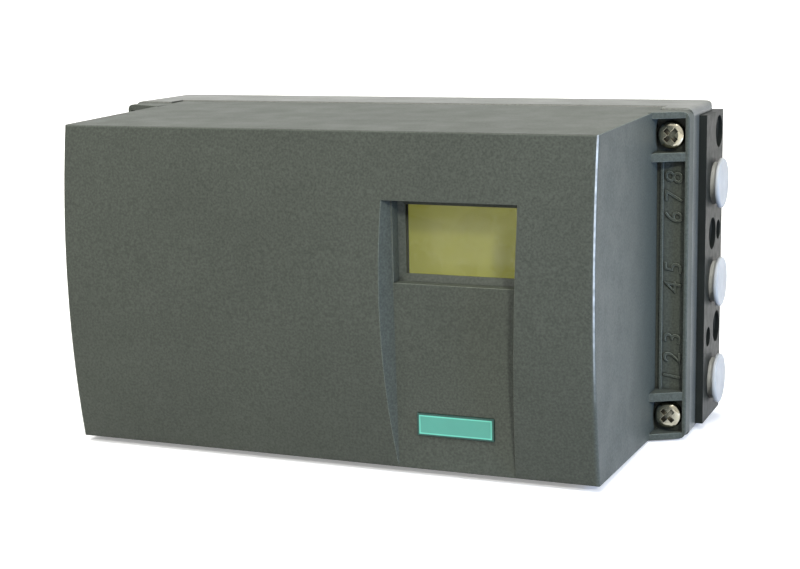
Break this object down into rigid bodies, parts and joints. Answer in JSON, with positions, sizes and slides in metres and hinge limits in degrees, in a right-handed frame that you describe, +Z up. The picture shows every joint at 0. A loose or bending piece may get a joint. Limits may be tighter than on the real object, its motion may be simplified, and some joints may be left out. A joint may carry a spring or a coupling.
{
  "type": "valve positioner",
  "caption": "Boxy electropneumatic valve positioner: arched cover with display window, base with feedback shaft, gear train, electronics, pneumatic port block and cable gland.",
  "frame": {"origin": "feedback shaft's axis where it leaves the rear mounting face", "axes": "+X to the right seen from the front, towards the ports; +Y to the rear along the feedback shaft; +Z up"},
  "size_m": [0.2064, 0.1114, 0.095],
  "materials": {
    "cover_plastic": "dark grey-olive spark-eroded moulding",
    "base_plastic": "dark grey spark-eroded moulding",
    "black_metal": "black anodised, satin",
    "steel": "bright nickel-plated steel",
    "shaft_steel": "turned stainless steel",
    "brass": "turned brass",
    "seal_rubber": "black elastomer",
    "clear": "clear moulded pane",
    "display": "khaki liquid-crystal glass",
    "plate": "teal satin plate, bare",
    "gear_plastic": "natural acetal",
    "yellow_plastic": "yellow moulding",
    "key_plastic": "light grey moulding",
    "board": "green solder resist",
    "dark_plastic": "black moulding",
    "terminal_plastic": "grey polyamide",
    "manifold_plastic": "grey glass-filled moulding",
    "gland_plastic": "grey polyamide",
    "plug_plastic": "milky polyethylene"
  },
  "bodies": {
    "base": {"base_housing": "base_plastic", "pneumatic_block": "black_metal", "block_gasket": "seal_rubber", "block_screws": "steel", "rear_screws": "steel", "mounting_inserts": "brass", "cover_inserts": "brass", "shaft_bush": "brass", "shaft_seal": "seal_rubber", "gear_bracket": "steel", "bracket_screws": "steel", "potentiometer": "dark_plastic", "electronics_tray": "dark_plastic", "main_board": "board", "board_screws": "steel", "module_cover": "dark_plastic", "module_screws": "steel", "display_glass": "display", "display_frame": "dark_plastic", "button_switches": "dark_plastic", "terminal_board": "board", "lower_terminals": "terminal_plastic", "upper_terminals": "terminal_plastic", "terminal_screws": "steel", "valve_manifold": "manifold_plastic", "supply_pilot": "dark_plastic", "exhaust_pilot": "dark_plastic", "gland_body": "gland_plastic", "gland_seal": "seal_rubber", "gland_nut": "gland_plastic", "blanking_plug": "gland_plastic", "plug_seal": "seal_rubber"},
    "cover": {"cover": "cover_plastic", "window_pane": "clear", "badge_plate": "plate", "cover_gasket": "seal_rubber", "cover_screws": "steel"},
    "shaft": {"feedback_shaft": "shaft_steel", "drive_gear": "gear_plastic", "shaft_ring": "steel"},
    "pinion": {"pot_pinion": "gear_plastic"},
    "clutch": {"clutch_wheel": "yellow_plastic"},
    "selector": {"ratio_selector": "yellow_plastic"},
    "mode_key": {"mode_button": "key_plastic"},
    "down_key": {"down_button": "key_plastic"},
    "up_key": {"up_button": "key_plastic"},
    "purge_slider": {"purge_selector": "yellow_plastic"},
    "lower_plug": {"lower_dust_plug": "plug_plastic"},
    "middle_plug": {"middle_dust_plug": "plug_plastic"},
    "upper_plug": {"upper_dust_plug": "plug_plastic"}
  },
  "joints": [
    {"name": "cover_lift_off", "type": "slide", "parent": "base", "child": "cover", "axis": [0, -1, 0], "range_m": [0, 0.1]},
    {"name": "shaft_turn", "type": "hinge", "parent": "base", "child": "shaft", "pos_m": [0, 0, 0], "axis": [0, 1, 0], "range_deg": [-50, 50]},
    {"name": "pinion_turn", "type": "hinge", "parent": "base", "child": "pinion", "pos_m": [-0.03016, 0, -0.01098], "axis": [0, 1, 0], "range_deg": [-160, 160]},
    {"name": "clutch_adjust", "type": "hinge", "parent": "pinion", "child": "clutch", "pos_m": [-0.03016, 0, -0.01098], "axis": [0, 1, 0], "continuous": true},
    {"name": "ratio_select", "type": "hinge", "parent": "base", "child": "selector", "pos_m": [-0.01566, 0, 0.00502], "axis": [0, 1, 0], "range_deg": [0, 50]},
    {"name": "mode_press", "type": "slide", "parent": "base", "child": "mode_key", "axis": [0, 1, 0], "range_m": [0, 0.0008], "stiffness_N_per_m": 1500, "springref_m": -0.0003},
    {"name": "down_press", "type": "slide", "parent": "base", "child": "down_key", "axis": [0, 1, 0], "range_m": [0, 0.0008], "stiffness_N_per_m": 1500, "springref_m": -0.0003},
    {"name": "up_press", "type": "slide", "parent": "base", "child": "up_key", "axis": [0, 1, 0], "range_m": [0, 0.0008], "stiffness_N_per_m": 1500, "springref_m": -0.0003},
    {"name": "purge_select", "type": "slide", "parent": "base", "child": "purge_slider", "axis": [0, 0, 1], "range_m": [0, 0.005]},
    {"name": "lower_plug_pull", "type": "slide", "parent": "base", "child": "lower_plug", "axis": [1, 0, 0], "range_m": [0, 0.02]},
    {"name": "middle_plug_pull", "type": "slide", "parent": "base", "child": "middle_plug", "axis": [1, 0, 0], "range_m": [0, 0.02]},
    {"name": "upper_plug_pull", "type": "slide", "parent": "base", "child": "upper_plug", "axis": [1, 0, 0], "range_m": [0, 0.02]}
  ],
  "couplings": [
    {"joint": "pinion_turn", "follows": "shaft_turn", "ratio": -3}
  ]
}
